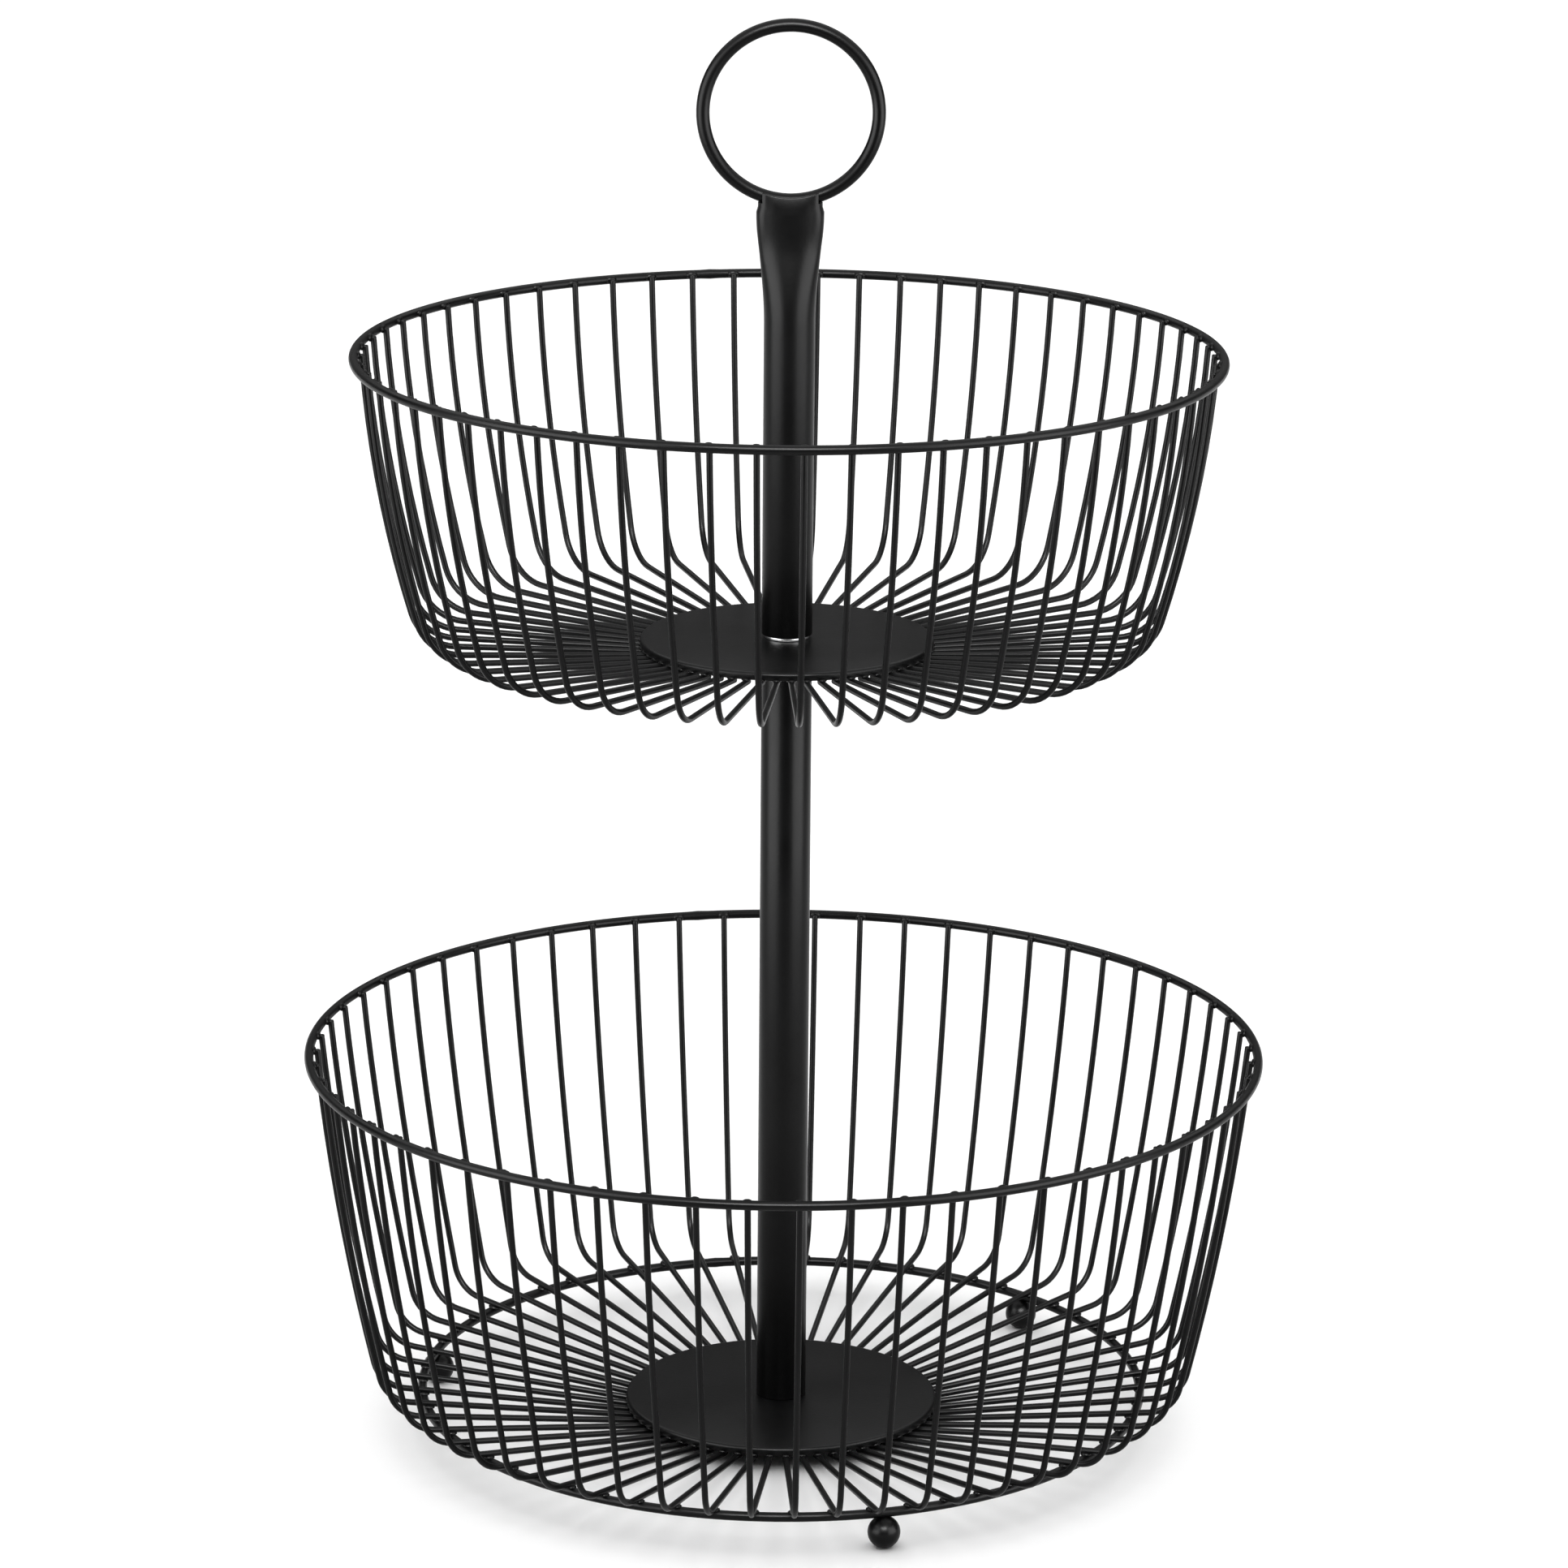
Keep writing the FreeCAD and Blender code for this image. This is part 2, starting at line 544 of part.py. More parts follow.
lower_basket = {
    "rim_radius": "Sheet.lower_rim_radius",
    "rim_height": lower_rim_height,
    "slope": "Sheet.lower_floor_slope",
    "bend": "Sheet.lower_bend_radius",
    "wall": "Sheet.lower_wall_radius",
    "floor_radius": lower_floor_radius,
    "end_radius": "Sheet.lower_hub_radius - Sheet.rib_hub_lap",
    "carrier_radius": base_ring_radius,
    "carrier_height": base_ring_height,
    "carrier_reach": ring_reach,
    "carrier_side": 1,
}
upper_basket = {
    "rim_radius": "Sheet.upper_rim_radius",
    "rim_height": upper_rim_height,
    "slope": "Sheet.upper_floor_slope",
    "bend": "Sheet.upper_bend_radius",
    "wall": "Sheet.upper_wall_radius",
    "floor_radius": upper_floor_radius,
    "end_radius": "Sheet.upper_hub_radius - Sheet.rib_hub_lap",
    "carrier_radius": "Sheet.upper_hub_radius",
    "carrier_height": upper_hub_height,
    "carrier_reach": hub_reach,
    "carrier_side": -1,
}

wire_ring("base_ring", base_ring_radius, "Sheet.base_ring_wire", base_ring_height)
foot_seat = seat_torus()
for foot_number in range(round(amount_of("Sheet.foot_count"))):
    ball_foot(foot_number, foot_seat)
basket_wires("lower", lower_basket)
hub_disc("lower_hub_disc", "Sheet.lower_hub_radius", lower_hub_height)
sleeve("lower_tube", tube_radius, tube_bore_radius, "Sheet.lower_tube_length", lower_tube_height)
threaded_insert("lower_tube_bottom_insert", lower_tube_height)
threaded_insert("lower_tube_top_insert", f"{tube_joint_height} - Sheet.insert_length")
sleeve("base_washer", washer_radius, hole_radius, "Sheet.washer_thickness", base_washer_height)
base_screw()
joining_stud()
basket_wires("upper", upper_basket)
hub_disc("upper_hub_disc", "Sheet.upper_hub_radius", upper_hub_height)
sleeve("joint_washer", washer_radius, hole_radius, "Sheet.washer_thickness", joint_washer_height)
upper_tube()
threaded_insert("upper_tube_insert", upper_tube_height)
handle_centre = f"{upper_tube_height} + Sheet.handle_height"
handle = wire_ring("handle_ring", "Sheet.handle_ring_radius", "Sheet.handle_wire", handle_centre)
handle.Placement.Rotation = FreeCAD.Rotation(FreeCAD.Vector(1, 0, 0), 90)
doc.recompute()

for piece in doc.Objects:
    if "Invalid" in piece.State or "Error" in piece.State:
        raise RuntimeError(f"{piece.Label} failed: {piece.State}")
os.makedirs("parts", exist_ok=True)
for piece in nodes:
    if piece.Shape.isNull() or not piece.Shape.isValid():
        raise RuntimeError(f"{piece.Label} has no valid shape")
for piece in nodes:
    piece.Shape.exportStep(f"parts/{piece.Label}.step")
    print(piece.Label, len(piece.Shape.Solids), "solids", round(piece.Shape.Volume, 1), "mm3")
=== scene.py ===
from math import asin, atan2, cos, hypot, pi, radians, sin, sqrt

import bmesh
import bpy
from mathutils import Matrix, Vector


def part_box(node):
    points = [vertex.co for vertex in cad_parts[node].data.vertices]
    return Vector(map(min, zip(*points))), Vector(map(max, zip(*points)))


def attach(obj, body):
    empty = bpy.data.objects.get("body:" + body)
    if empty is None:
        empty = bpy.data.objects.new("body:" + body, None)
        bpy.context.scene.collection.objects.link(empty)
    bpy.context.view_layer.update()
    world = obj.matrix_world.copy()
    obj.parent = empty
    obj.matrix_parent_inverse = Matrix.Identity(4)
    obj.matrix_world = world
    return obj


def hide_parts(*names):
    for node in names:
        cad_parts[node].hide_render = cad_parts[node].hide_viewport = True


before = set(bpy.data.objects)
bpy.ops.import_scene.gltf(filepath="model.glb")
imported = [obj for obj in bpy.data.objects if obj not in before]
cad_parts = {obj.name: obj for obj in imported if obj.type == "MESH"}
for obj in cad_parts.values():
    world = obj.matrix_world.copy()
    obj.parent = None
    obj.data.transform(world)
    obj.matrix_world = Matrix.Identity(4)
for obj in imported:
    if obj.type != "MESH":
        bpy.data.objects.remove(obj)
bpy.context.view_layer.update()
print("frame loaded,", len(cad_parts), "nodes")


# small helpers, the moves made again and again by hand

tolerance = {"merge": 1e-6, "sliver": 4e-6, "cut": 1e-7}
near = 1e-5                # how close to a height or radius a point counts as on it
smoothAngle = {"wire": 40, "ring": 60, "foot": 50, "disc": 40, "tube": 35, "hardware": 30}
sortSpot = (0.3113, 0.1737, 0.5471)    # off every plane of symmetry


def startFresh():
    if bpy.context.mode != "OBJECT":
        bpy.ops.object.mode_set(mode="OBJECT")
    bpy.ops.object.select_all(action="DESELECT")


def takeUp(piece):
    startFresh()
    piece.select_set(True)
    bpy.context.view_layer.objects.active = piece


def named(name):
    piece = bpy.context.active_object
    piece.name = name
    piece.data.name = name
    bpy.ops.object.transform_apply(location=True, rotation=True, scale=True)
    return piece


def editAll(piece):
    takeUp(piece)
    bpy.ops.object.mode_set(mode="EDIT")
    bpy.ops.mesh.select_mode(type="VERT")
    bpy.ops.mesh.select_all(action="SELECT")


def pick(piece, test, mode="VERT"):
    # selects vertices by their place, and the edges or faces between them
    bpy.ops.mesh.select_mode(type="VERT")
    bpy.ops.mesh.select_all(action="DESELECT")
    shape = bmesh.from_edit_mesh(piece.data)
    for vert in shape.verts:
        vert.select = test(vert.co)
    shape.select_flush_mode()
    bmesh.update_edit_mesh(piece.data)
    bpy.ops.mesh.select_mode(type=mode)


def pickFaces(piece, test):
    bpy.ops.mesh.select_mode(type="FACE")
    bpy.ops.mesh.select_all(action="DESELECT")
    shape = bmesh.from_edit_mesh(piece.data)
    for face in shape.faces:
        face.select_set(test(face.calc_center_median(), face.normal))
    bmesh.update_edit_mesh(piece.data)


def extrude(x=0.0, y=0.0, z=0.0):
    bpy.ops.mesh.extrude_region_move(TRANSFORM_OT_translate={"value": (x, y, z)})


def scaleAbout(centre, x=1.0, y=1.0, z=1.0):
    bpy.ops.transform.resize(value=(x, y, z), center_override=centre)


def fixOrder():
    # sorts points, edges and faces by their distance from one spot, so that each run merges alike
    cursor = bpy.context.scene.cursor
    cursor.location = sortSpot
    bpy.ops.mesh.sort_elements(type="CURSOR_DISTANCE", elements={"VERT", "EDGE", "FACE"})
    cursor.location = (0, 0, 0)


def closeMesh():
    bpy.ops.mesh.select_all(action="SELECT")
    fixOrder()
    bpy.ops.mesh.remove_doubles(threshold=tolerance["merge"])
    bpy.ops.mesh.normals_make_consistent(inside=False)
    bpy.ops.object.mode_set(mode="OBJECT")


def cleanCut(piece, reach):
    # takes out the slivers and needless points that a cut or a join leaves along its line
    editAll(piece)
    fixOrder()
    bpy.ops.mesh.remove_doubles(threshold=reach)
    bpy.ops.mesh.dissolve_degenerate(threshold=reach)
    bpy.ops.mesh.select_all(action="DESELECT")
    shape = bmesh.from_edit_mesh(piece.data)
    for vert in shape.verts:
        vert.select = len(vert.link_edges) == 2
    bmesh.update_edit_mesh(piece.data)
    bpy.ops.mesh.dissolve_verts()
    bpy.ops.object.mode_set(mode="OBJECT")


def applyAll(piece):
    takeUp(piece)
    for modifier in list(piece.modifiers):
        bpy.ops.object.modifier_apply(modifier=modifier.name)


def combine(piece, tool, operation):
    step = piece.modifiers.new(operation.lower(), "BOOLEAN")
    step.operation = operation
    step.object = tool
    step.solver = "EXACT"
    applyAll(piece)
    bpy.data.objects.remove(tool)
    cleanCut(piece, tolerance["sliver"])


def smooth(piece, kind):
    takeUp(piece)
    bpy.ops.object.shade_smooth_by_angle(angle=radians(smoothAngle[kind]))


def copyOf(piece, name):
    twin = piece.copy()
    twin.data = piece.data.copy()
    twin.name = name
    twin.data.name = name
    bpy.context.scene.collection.objects.link(twin)
    return twin


def turnedCopy(piece, name, angle):
    twin = copyOf(piece, name)
    takeUp(twin)
    twin.rotation_euler.z = angle
    bpy.ops.object.transform_apply(location=True, rotation=True, scale=True)
    return twin


def joined(pieces, name):
    takeUp(pieces[0])
    for piece in pieces[1:]:
        piece.select_set(True)
    bpy.ops.object.join()
    whole = bpy.context.active_object
    whole.name = name
    whole.data.name = name
    return whole


def place(piece, body, slot, material, *nodes):
    piece.data.materials.clear()
    piece.data.materials.append(material)
    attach(piece, body)
    if nodes:
        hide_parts(*nodes)


def middle(node):
    low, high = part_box(node)
    return (low + high) / 2


# finishes

powderCoat = {
    "dark": (0.0016, 0.0016, 0.0017, 1),
    "light": (0.0034, 0.0034, 0.0036, 1),
    "specular": 0.10,
    "roughLow": 0.29,
    "roughHigh": 0.37,
    "peelScale": 900,      # orange peel of the sprayed coat, per metre
    "grainScale": 5200,    # fine grain of the powder
    "driftScale": 34,      # slow change of gloss over a few centimetres
    "driftDetail": 3,
    "fineDetail": 2,
    "toneStops": (0.35, 0.68),
    "glossStops": (0.3, 0.7),
    "bump": 0.10,
    "peelDepth": 0.0002,
    "grainDepth": 0.00004,
}

zincPlate = {
    "dark": (0.36, 0.37, 0.39, 1),
    "light": (0.56, 0.56, 0.55, 1),
    "roughLow": 0.24,
    "roughHigh": 0.42,
    "cloudScale": 260,
    "cloudDetail": 4,
    "cloudRoughness": 0.6,
    "grainScale": 4200,
    "fineDetail": 2,
    "toneStops": (0.3, 0.7),
    "glossStops": (0.3, 0.7),
    "bump": 0.06,
    "grainDepth": 0.00003,
}


def newMaterial(name):
    material = bpy.data.materials.new(name)
    material.use_nodes = True
    tree = material.node_tree
    return material, tree, tree.nodes["Principled BSDF"]


def noise(tree, scale, detail, roughness=0.5):
    where = tree.nodes.new("ShaderNodeTexCoord")
    texture = tree.nodes.new("ShaderNodeTexNoise")
    texture.inputs["Scale"].default_value = scale
    texture.inputs["Detail"].default_value = detail
    texture.inputs["Roughness"].default_value = roughness
    tree.links.new(where.outputs["Object"], texture.inputs["Vector"])
    return texture


def blendRamp(tree, source, stops, *colours):
    ramp = tree.nodes.new("ShaderNodeValToRGB")
    for element, stop, colour in zip(ramp.color_ramp.elements, stops, colours):
        element.position = stop
        element.color = colour
    tree.links.new(source, ramp.inputs["Fac"])
    return ramp.outputs["Color"]


def spread(tree, source, stops, low, high):
    span = tree.nodes.new("ShaderNodeMapRange")
    span.inputs["From Min"].default_value = stops[0]
    span.inputs["From Max"].default_value = stops[1]
    span.inputs["To Min"].default_value = low
    span.inputs["To Max"].default_value = high
    tree.links.new(source, span.inputs["Value"])
    return span.outputs["Result"]


def bumpFrom(tree, source, strength, distance, under=None):
    bump = tree.nodes.new("ShaderNodeBump")
    bump.inputs["Strength"].default_value = strength
    bump.inputs["Distance"].default_value = distance
    tree.links.new(source, bump.inputs["Height"])
    if under:
        tree.links.new(under, bump.inputs["Normal"])
    return bump.outputs["Normal"]


def makePowderCoat(look):
    material, tree, shader = newMaterial("blackPowderCoat")
    drift = noise(tree, look["driftScale"], look["driftDetail"])
    peel = noise(tree, look["peelScale"], look["fineDetail"])
    grain = noise(tree, look["grainScale"], look["fineDetail"])
    colour = blendRamp(tree, drift.outputs["Fac"], look["toneStops"], look["dark"], look["light"])
    tree.links.new(colour, shader.inputs["Base Color"])
    gloss = spread(tree, drift.outputs["Fac"], look["glossStops"], look["roughLow"], look["roughHigh"])
    tree.links.new(gloss, shader.inputs["Roughness"])
    waves = bumpFrom(tree, peel.outputs["Fac"], look["bump"], look["peelDepth"])
    fine = bumpFrom(tree, grain.outputs["Fac"], look["bump"], look["grainDepth"], waves)
    tree.links.new(fine, shader.inputs["Normal"])
    shader.inputs["Metallic"].default_value = 0.0
    shader.inputs["Specular IOR Level"].default_value = look["specular"]
    return material


def makeZincPlate(look):
    material, tree, shader = newMaterial("brightZincPlate")
    cloud = noise(tree, look["cloudScale"], look["cloudDetail"], look["cloudRoughness"])
    grain = noise(tree, look["grainScale"], look["fineDetail"])
    colour = blendRamp(tree, cloud.outputs["Fac"], look["toneStops"], look["dark"], look["light"])
    tree.links.new(colour, shader.inputs["Base Color"])
    gloss = spread(tree, cloud.outputs["Fac"], look["glossStops"], look["roughLow"], look["roughHigh"])
    tree.links.new(gloss, shader.inputs["Roughness"])
    fine = bumpFrom(tree, grain.outputs["Fac"], look["bump"], look["grainDepth"])
    tree.links.new(fine, shader.inputs["Normal"])
    shader.inputs["Metallic"].default_value = 1.0
    return material


blackCoat = makePowderCoat(powderCoat)
zincSteel = makeZincPlate(zincPlate)
print("finishes made")


# ribs: a bent wire from under the hub disc, over the floor and up to the rim

ribWire = {
    "radius": 0.0010,
    "sides": 16,
    "bendSteps": 9,
    "wallSteps": 9,
    "tipRise": 0.0005,     # blunt tip above the middle of the rim wire
    "endRound": 0.00035,
    "tipSegments": 3,
    "startSegments": 2,
    "startReach": 1.5,     # in wire radii, to pick the inner end
    "weldGap": 0.00003,
    "count": 60,
    "perGroup": 5,
    "phase": 2,            # degrees
    "hubLap": 0.0035,
}

weldBead = {
    "segments": 12,
    "rings": 8,
    "atRim": (0.00085, 0.0019, 0.0014),
    "atRing": (0.0018, 0.0018, 0.0008),
    "atHub": (0.0019, 0.0016, 0.0008),
    "hubInset": 0.0022,    # from the rib's inner end
}

rimWire = {
    "radius": 0.0015,
    "around": 264,
    "sides": 20,
    "seamAngle": 101,      # degrees
    "seamSwell": 0.00014,
    "seamReaches": (1.6, 0.8),
    "seamSpare": 0.0001,
}

lowerBasket = {
    "name": "lower",
    "body": "lower_tier",
    "slope": 8.2,          # degrees
    "bend": 0.012,
    "wall": 0.800,
    "floorRadius": 0.123,
    "hubRadius": 0.0505,
    "rimRadius": 0.1525,
    "carrier": Vector((0.117, 0, middle("base_ring").z)),
    "carrierReach": rimWire["radius"] + ribWire["radius"] + ribWire["weldGap"],
}

upperBasket = {
    "name": "upper",
    "body": "upper_tier",
    "slope": 3.2,
    "bend": 0.0155,
    "wall": 0.372,
    "floorRadius": 0.1049,
    "hubRadius": 0.0465,
    "rimRadius": 0.136,
    "carrier": Vector((0.0465, 0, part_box("upper_hub_disc")[0].z)),
    "carrierReach": -(ribWire["radius"] + ribWire["weldGap"]),
}


def ribLine(basket):
    # floor, bend and wall as start points, turning centres and turns
    slope = radians(basket["slope"])
    along = Vector((cos(slope), 0, sin(slope)))
    upward = Vector((-sin(slope), 0, cos(slope)))
    onFloor = basket["carrier"] + upward * basket["carrierReach"]
    start = onFloor + along * ((basket["hubRadius"] - ribWire["hubLap"] - onFloor.x) / along.x)
    turnUp = onFloor + along * ((basket["floorRadius"] - onFloor.x) / along.x)
    bendCentre = turnUp + upward * basket["bend"]
    rim = Vector((basket["rimRadius"], 0, middle(basket["name"] + "_rim").z))
    toBend = basket["wall"] - basket["bend"]
    toRim = basket["wall"] + rimWire["radius"] + ribWire["radius"] + ribWire["weldGap"]
    apart = rim - bendCentre
    foot = (toBend ** 2 - toRim ** 2 + apart.length_squared) / (2 * apart.length)
    across = Vector((-apart.z, 0, apart.x)) * (sqrt(toBend ** 2 - foot ** 2) / apart.length)
    wallCentre = bendCentre + apart * (foot / apart.length) + across
    leaving = bendCentre - wallCentre
    wallStart = atan2(leaving.z, leaving.x)
    wallEnd = asin((rim.z + ribWire["tipRise"] - wallCentre.z) / basket["wall"])
    return {
        "slope": slope,
        "along": along,
        "upward": upward,
        "start": start,
        "turnUp": turnUp,
        "bendCentre": bendCentre,
        "bendTurn": wallStart - slope + pi / 2,
        "wallCentre": wallCentre,
        "wallTurn": wallEnd - wallStart,
        "rim": rim,
    }


def addBead(where, size, tilt):
    startFresh()
    bpy.ops.mesh.primitive_uv_sphere_add(
        segments=weldBead["segments"], ring_count=weldBead["rings"], radius=1,
        location=where, rotation=(0, -tilt, 0), scale=size)
    return named("weldBead")


def modelRib(basket):
    line = ribLine(basket)
    startFresh()
    bpy.ops.mesh.primitive_circle_add(
        vertices=ribWire["sides"], radius=ribWire["radius"],
        location=line["start"], rotation=(0, pi / 2 - line["slope"], 0))
    rib = named(basket["name"] + "Rib")
    editAll(rib)
    extrude(*(line["turnUp"] - line["start"]))
    for part in ("bend", "wall"):
        bpy.ops.mesh.spin(
            steps=ribWire[part + "Steps"], angle=line[part + "Turn"],
            center=line[part + "Centre"], axis=(0, 1, 0))
    bpy.ops.mesh.edge_face_add()
    bpy.ops.mesh.bevel(offset=ribWire["endRound"], segments=ribWire["tipSegments"], affect="EDGES")
    reach = ribWire["radius"] * ribWire["startReach"]
    pick(rib, lambda co: (co - line["start"]).length < reach, "EDGE")
    bpy.ops.mesh.edge_face_add()
    bpy.ops.mesh.bevel(offset=ribWire["endRound"], segments=ribWire["startSegments"], affect="EDGES")
    closeMesh()

    outward = (line["rim"] - line["wallCentre"]).normalized()
    onRim = line["rim"] - outward * rimWire["radius"]
    onHub = line["start"] + line["along"] * weldBead["hubInset"] + line["upward"] * ribWire["radius"]
    onRing = basket["carrier"] + line["upward"] * rimWire["radius"]
    beads = [
        (onRim, weldBead["atRim"], atan2(outward.z, outward.x)),
        (onHub, weldBead["atHub"], line["slope"]),
    ]
    if basket["name"] == "lower":
        beads.append((onRing, weldBead["atRing"], line["slope"]))
    for bead in beads:
        combine(rib, addBead(*bead), "UNION")
    smooth(rib, "wire")
    return rib


def modelRibs(basket):
    rib = modelRib(basket)
    pitch = 2 * pi / ribWire["count"]
    groups = ribWire["count"] // ribWire["perGroup"]
    for group in range(groups):
        wires = []
        for number in range(ribWire["perGroup"]):
            turn = radians(ribWire["phase"]) + (group * ribWire["perGroup"] + number) * pitch
            wires.append(turnedCopy(rib, "wire", turn))
        label = f"{basket['name']}Ribs{group + 1:02d}"
        node = f"{basket['name']}_ribs_{group + 1:02d}"
        place(joined(wires, label), basket["body"], "black_coat", blackCoat, node)
    bpy.data.objects.remove(rib)
    print(basket["name"], "ribs bent and welded")


modelRibs(lowerBasket)
modelRibs(upperBasket)


# closed rings of wire, with the swelling of their butt weld

def modelRing(name, radius, node, body):
    startFresh()
    bpy.ops.mesh.primitive_torus_add(
        major_radius=radius, minor_radius=rimWire["radius"], major_segments=rimWire["around"],
        minor_segments=rimWire["sides"], location=(0, 0, middle(node).z))
    ring = named(name)
    editAll(ring)
    seamAngle = radians(rimWire["seamAngle"])
    seam = Vector((cos(seamAngle), sin(seamAngle))) * radius
    step = 2 * pi * radius / rimWire["around"]
    across = rimWire["radius"] + rimWire["seamSpare"]
    for reach in rimWire["seamReaches"]:
        along = radius * step * reach
        pick(ring, lambda co: (co.xy - seam).length < across and abs(co.xy.cross(seam)) < along)
        bpy.ops.transform.shrink_fatten(value=rimWire["seamSwell"] / 2)
    bpy.ops.object.mode_set(mode="OBJECT")
    smooth(ring, "ring")
    place(ring, body, "black_coat", blackCoat, node)


for basket in (lowerBasket, upperBasket):
    modelRing(basket["name"] + "Rim", basket["rimRadius"], basket["name"] + "_rim", basket["body"])
modelRing("baseRing", lowerBasket["carrier"].x, "base_ring", "lower_tier")
print("rims and base ring closed")


# ball feet: a small flat below, and a welded neck that grips the base ring

ballFoot = {
    "count": 3,
    "segments": 40,
    "rings": 28,
    "flat": 0.0001,        # ground off below
    "neckFacing": 0.93,    # the top's faces that the neck grows from
    "neckRise": 0.0009,
    "neckShare": 0.62,
    "neckLevel": 0.2,      # how much of the ball's roundness the neck's top keeps
}


def modelFoot(number):
    node = f"ball_foot_{number}"
    low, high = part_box(node)
    radius = (high.x - low.x) / 2
    centre = Vector(((low.x + high.x) / 2, (low.y + high.y) / 2, 0))
    flat = ballFoot["flat"]
    startFresh()
    bpy.ops.mesh.primitive_uv_sphere_add(
        segments=ballFoot["segments"], ring_count=ballFoot["rings"], radius=radius,
        location=centre + Vector((0, 0, radius - flat)))
    foot = named(f"ballFoot{number}")
    editAll(foot)
    bpy.ops.mesh.bisect(
        plane_co=(0, 0, 0), plane_no=(0, 0, -1), use_fill=True, clear_outer=True,
        threshold=tolerance["cut"])
    top = 2 * radius - flat
    pickFaces(foot, lambda co, normal: normal.z > ballFoot["neckFacing"])
    extrude(z=ballFoot["neckRise"])
    share = ballFoot["neckShare"]
    scaleAbout(centre + Vector((0, 0, top)), share, share, ballFoot["neckLevel"])
    closeMesh()
    smooth(foot, "foot")
    place(foot, "lower_tier", "black_coat", blackCoat, node)


for number in range(ballFoot["count"]):
    modelFoot(number + 1)
print("feet set under the base ring")


# hub discs, tubes and the handle

hubDisc = {
    "sides": 128,
    "hole": 0.0030,
    "edgeRound": 0.0010,
    "edgeSegments": 5,
    "lowerRound": 0.0003,
    "lowerSegments": 2,
}


def modelHub(basket):
    node = basket["name"] + "_hub_disc"
    low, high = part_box(node)
    radius = basket["hubRadius"]
    startFresh()
    bpy.ops.mesh.primitive_circle_add(
        vertices=hubDisc["sides"], radius=hubDisc["hole"], location=(0, 0, low.z))
    disc = named(basket["name"] + "HubDisc")
    editAll(disc)
    extrude()
    share = radius / hubDisc["hole"]
    scaleAbout((0, 0, low.z), share, share)
    bpy.ops.mesh.select_all(action="SELECT")
    extrude(z=high.z - low.z)
    closeMesh()
    editAll(disc)
    half = (low.z + high.z) / 2
    pick(disc, lambda co: co.xy.length > radius - near and co.z > half, "EDGE")
    bpy.ops.mesh.bevel(offset=hubDisc["edgeRound"], segments=hubDisc["edgeSegments"], affect="EDGES")
    pick(disc, lambda co: co.xy.length > radius - near and co.z < low.z + near, "EDGE")
    bpy.ops.mesh.bevel(offset=hubDisc["lowerRound"], segments=hubDisc["lowerSegments"], affect="EDGES")
    closeMesh()
    smooth(disc, "disc")
    place(disc, basket["body"], "black_coat", blackCoat, node)


modelHub(lowerBasket)
modelHub(upperBasket)

columnTube = {
    "radius": 0.008,
    "wall": 0.0012,
    "sides": 72,
    "endRound": 0.0003,
    "endSegments": 2,
    "endAngle": 40,        # degrees, sharper edges are rounded
}


def addWall(tube):
    wall = tube.modifiers.new("wall", "SOLIDIFY")
    wall.thickness = columnTube["wall"]
    wall.offset = -1


def modelLowerTube():
    low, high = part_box("lower_tube")
    startFresh()
    bpy.ops.mesh.primitive_circle_add(
        vertices=columnTube["sides"], radius=columnTube["radius"], location=(0, 0, low.z))
    tube = named("lowerTube")
    editAll(tube)
    extrude(z=high.z - low.z)
    closeMesh()
    addWall(tube)
    edge = tube.modifiers.new("edge", "BEVEL")
    edge.width = columnTube["endRound"]
    edge.segments = columnTube["endSegments"]
    edge.limit_method = "ANGLE"
    edge.angle_limit = radians(columnTube["endAngle"])
    applyAll(tube)
    smooth(tube, "tube")
    place(tube, "lower_tier", "black_coat", blackCoat, "lower_tube")


modelLowerTube()
print("hub discs and lower tube made")

handleRing = {"radius": 0.0273, "wire": 0.0021, "around": 176, "sides": 28}
handleTube = {
    "mouthLength": 0.0073,
    "flareLength": 0.0340,
    "flatWidth": 0.0212,
    "flatThickness": 0.00689,
    "crown": 0.0010,       # how far the pressed faces stay round
    "crownMiddle": 0.1,    # share of a face's half width that is drawn out first
    "lipPress": 0.0007,    # pressed flatter again at the lip
    "shoulder": 0.0010,    # full width above the flare
    "pinch": 0.0005,
    "pinchRise": 0.0017,
    "mouthSpare": 0.0008,  # cut away again by the saddle
    "faceHalf": 0.0087,    # from the axis to the corner steps
    "saddleDrop": 0.0010,
    "stepDown": 0.02796,   # corner steps below the middle of the ring
    "flareSteps": 20,
    "wideSlope": 0.8,      # how fast the flare still widens at its top
    "thinSlope": 0.3,      # how fast it still thins there
    "ovalShare": 0.62,     # part of the flare that is still oval
    "flareCuts": 14,       # rings between the oval and the flat mouth
    "saddleSides": 192,
    "cutterDepth": 0.03,
    "cutterBlock": 0.01,
    "cutMerge": 0.0002,    # cut edges shorter than this are drawn together
    "lipRound": 0.0002,
    "lipSegments": 2,
}


def eased(share, endSlope):
    # from 0 to 1 with a soft start and a chosen slope at the end
    return (3 - endSlope) * share ** 2 + (endSlope - 2) * share ** 3


def crownFaces(tube, above, reach, rise):
    # draws the middle of both flat faces out or in, less and less towards their edges
    middleHalf = reach * handleTube["crownMiddle"]
    for side in (-1, 1):
        pick(tube, lambda co: co.z > above and abs(co.x) < middleHalf and co.y * side > 0)
        bpy.ops.transform.translate(
            value=(0, side * rise, 0), use_proportional_edit=True, proportional_size=reach,
            proportional_edit_falloff="INVERSE_SQUARE", use_proportional_connected=True)


